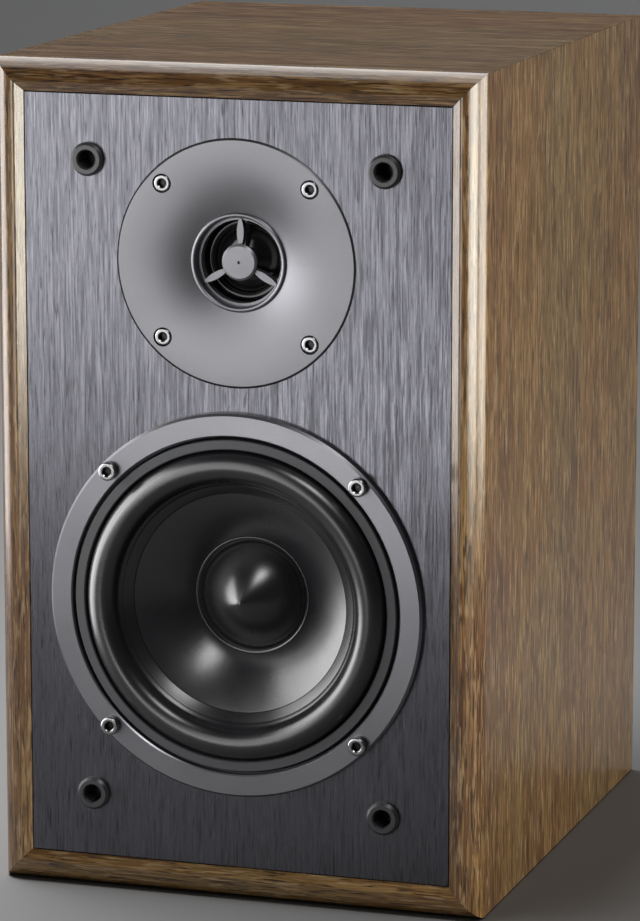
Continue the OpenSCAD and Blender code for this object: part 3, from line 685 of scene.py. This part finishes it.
def add_tinsel_leads():
    """Braided leads from the cone to the terminal strip."""
    meshes = []
    for side in (-1, 1):
        points = [(side * x * MM, BAFFLE_Y + d * MM, WOOFER_Z - r * MM) for x, r, d in LEAD_ROUTE]
        meshes.append(tube("lead", points, LEAD_R, 10, 8))
    piece = new_piece("tinsel_leads", join_meshes("tinsel_leads", meshes), "lead")
    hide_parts("woofer_tinsel_leads")
    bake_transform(piece)


# ---- Fleece lining ----

def add_wadding():
    """A lofty fleece lining on both side walls and under the top, made from its CAD solid's box."""
    low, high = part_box("damping_wadding")
    thick = 0.0155
    slabs = ((Vector((low.x, low.y, low.z)), Vector((low.x + thick, high.y, high.z))),
             (Vector((high.x - thick, low.y, low.z)), Vector((high.x, high.y, high.z))),
             (Vector((low.x + thick - 0.003, low.y, high.z - thick)),
              Vector((high.x - thick + 0.003, high.y, high.z))))
    mesh = bpy.data.meshes.new("fleece_lining")
    made = bmesh.new()
    for a, b in slabs:
        size = b - a
        bmesh.ops.create_cube(made, size=1, matrix=Matrix.Translation((a + b) / 2)
                              @ Matrix.Diagonal((size.x, size.y, size.z, 1)))
    made.to_mesh(mesh)
    made.free()
    piece = new_piece("fleece_lining", mesh, "fleece")
    remesh = piece.modifiers.new("remesh", "REMESH")
    remesh.mode = "VOXEL"
    remesh.voxel_size = 0.004
    bpy.context.view_layer.objects.active = piece
    piece.select_set(True)
    bpy.ops.object.modifier_apply(modifier=remesh.name)
    for vertex in piece.data.vertices:
        push = noise.fractal(vertex.co * 55, 1.0, 2.0, 4) * 0.0022 - 0.0016
        vertex.co += vertex.normal * push
        for axis in range(3):
            vertex.co[axis] = min(high[axis], max(low[axis], vertex.co[axis]))
    piece.data.polygons.foreach_set("use_smooth", [True] * len(piece.data.polygons))
    piece.data.update()
    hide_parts("damping_wadding")
    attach(piece, "speaker")


# ---- Stage ----

def add_floor():
    """A wide flat floor just under the cabinet."""
    mesh = bpy.data.meshes.new("floor")
    reach = 9.0
    mesh.from_pydata([(-reach, -reach, 0), (reach, -reach, 0), (reach, reach, 0), (-reach, reach, 0)],
                     [], [(0, 1, 2, 3)])
    floor = bpy.data.objects.new("floor", mesh)
    bpy.context.scene.collection.objects.link(floor)
    mesh.materials.append(MATERIALS["floor"])
    floor.location.z = -0.0003


def add_panel_light(name, place, aim, size, radiance, tint=(1, 1, 1), spread=180, only=None):
    """A rectangular area light, unseen by the camera. A spread under 180 degrees is a grid on the light,
    which keeps it off the floor; the radiance is the one seen from straight ahead. The collection in
    only is all that it lights."""
    data = bpy.data.lights.new(name, "AREA")
    data.shape = "RECTANGLE"
    data.size, data.size_y = size
    share = 1.0
    if spread < 180:
        half = math.radians(spread / 2)
        share = math.sin(half) ** 2 - (half - math.sin(2 * half) / 2) / math.tan(half)
    data.spread = math.radians(spread)
    data.energy = radiance * share * math.pi * size[0] * size[1]
    data.color = tint
    light = bpy.data.objects.new(name, data)
    light.location = place
    light.rotation_mode = "QUATERNION"
    light.rotation_quaternion = (Vector(aim) - Vector(place)).to_track_quat("-Z", "Y")
    light.visible_camera = False
    if only:
        light.light_linking.receiver_collection = only
    bpy.context.scene.collection.objects.link(light)


SOFTBOX_SPREAD = 110


def add_softbox(name, x, y, turn, size, radiance, foot, tint=(1, 1, 1), only=None):
    """An upright panel on a place of the floor, turned to an angle; 0 faces the back, + the right."""
    angle = math.radians(turn)
    place = Vector((x, y, foot + size[1] / 2))
    aim = place + Vector((math.sin(angle), math.cos(angle), 0))
    add_panel_light(name, place, aim, size, radiance, tint, SOFTBOX_SPREAD, only)


def add_lights():
    """Softboxes in front and at the sides, and panels above. Each lights only one group, as flags
    in a studio would have it: the boards, the upright pieces, the fittings or the ground."""
    boards, uprights, fittings, ground = (
        bpy.data.collections.new(name) for name in ("boards", "uprights", "fittings", "ground"))
    for item in bpy.context.scene.objects:
        if item.type != "MESH":
            continue
        group = ground if item.name == "floor" else boards if item.name in BOARDS else fittings
        group.objects.link(item)
        if item.name not in ("floor", "top_panel", "bottom_panel"):
            uprights.objects.link(item)
    cream, rose = (1.0, 0.98, 0.88), (1.0, 0.95, 0.92)
    add_softbox("front_left", -0.255, -0.72, 12, (0.42, 0.60), 3.2, 0.045, only=uprights)
    add_softbox("front_low", -0.115, -0.70, 12, (0.14, 0.10), 3.0, 0.005, only=fittings)
    add_softbox("left_front", -0.52, -0.56, 46, (0.32, 0.46), 5.2, 0.12, only=fittings)
    add_softbox("left_side", -0.31, -0.20, 84, (0.28, 0.40), 9.0, 0.0, only=fittings)
    add_softbox("left_edge", -0.66, -0.12, 82, (0.42, 0.60), 6.0, 0.0, rose, boards)
    add_softbox("front_right", 0.49, -0.48, -54, (0.46, 0.27), 11.0, 0.07, cream, boards)
    add_softbox("right_side", 0.66, 0.04, -100, (0.56, 0.30), 7.0, 0.05, cream, boards)
    add_panel_light("high_right", (0.36, -0.62, 0.95), (0, -0.1, 0.12), (0.30, 0.30), 12, spread=90,
                    only=fittings)
    add_panel_light("above", (-0.6, 0.0, 1.30), (-0.6, 0.0, 0.0), (1.2, 0.9), 8.5, spread=130,
                    only=ground)
    add_panel_light("behind", (-0.2, 1.30, 0.80), (0.0, 0.1, 0.15), (0.9, 0.6), 7.0, only=fittings)
    add_panel_light("above_wood", (-0.8, 1.0, 1.30), (-0.8, 1.0, 0.0), (3.4, 1.8), 2.7, only=boards)
    add_panel_light("above_ridge", (-0.8, -0.1, 1.30), (-0.8, -0.1, 0.0), (3.4, 0.8), 1.6, only=boards)
    add_panel_light("above_back", (0.2, 3.6, 2.6), (0.2, 3.6, 0), (4.0, 3.0), 0.6, only=ground)
    world = bpy.data.worlds.new("studio")
    bpy.context.scene.world = world
    world.use_nodes = True
    background = world.node_tree.nodes["Background"]
    background.inputs["Color"].default_value = (0.90, 0.92, 0.95, 1)
    background.inputs["Strength"].default_value = 0.05
    bpy.context.scene.view_settings.view_transform = "Standard"


add_camera()
dress_nodes()
add_surround()
add_cap_ring()
add_spider()
add_tweeter_surround()
add_wires()
add_tinsel_leads()
add_wadding()
add_floor()
add_lights()
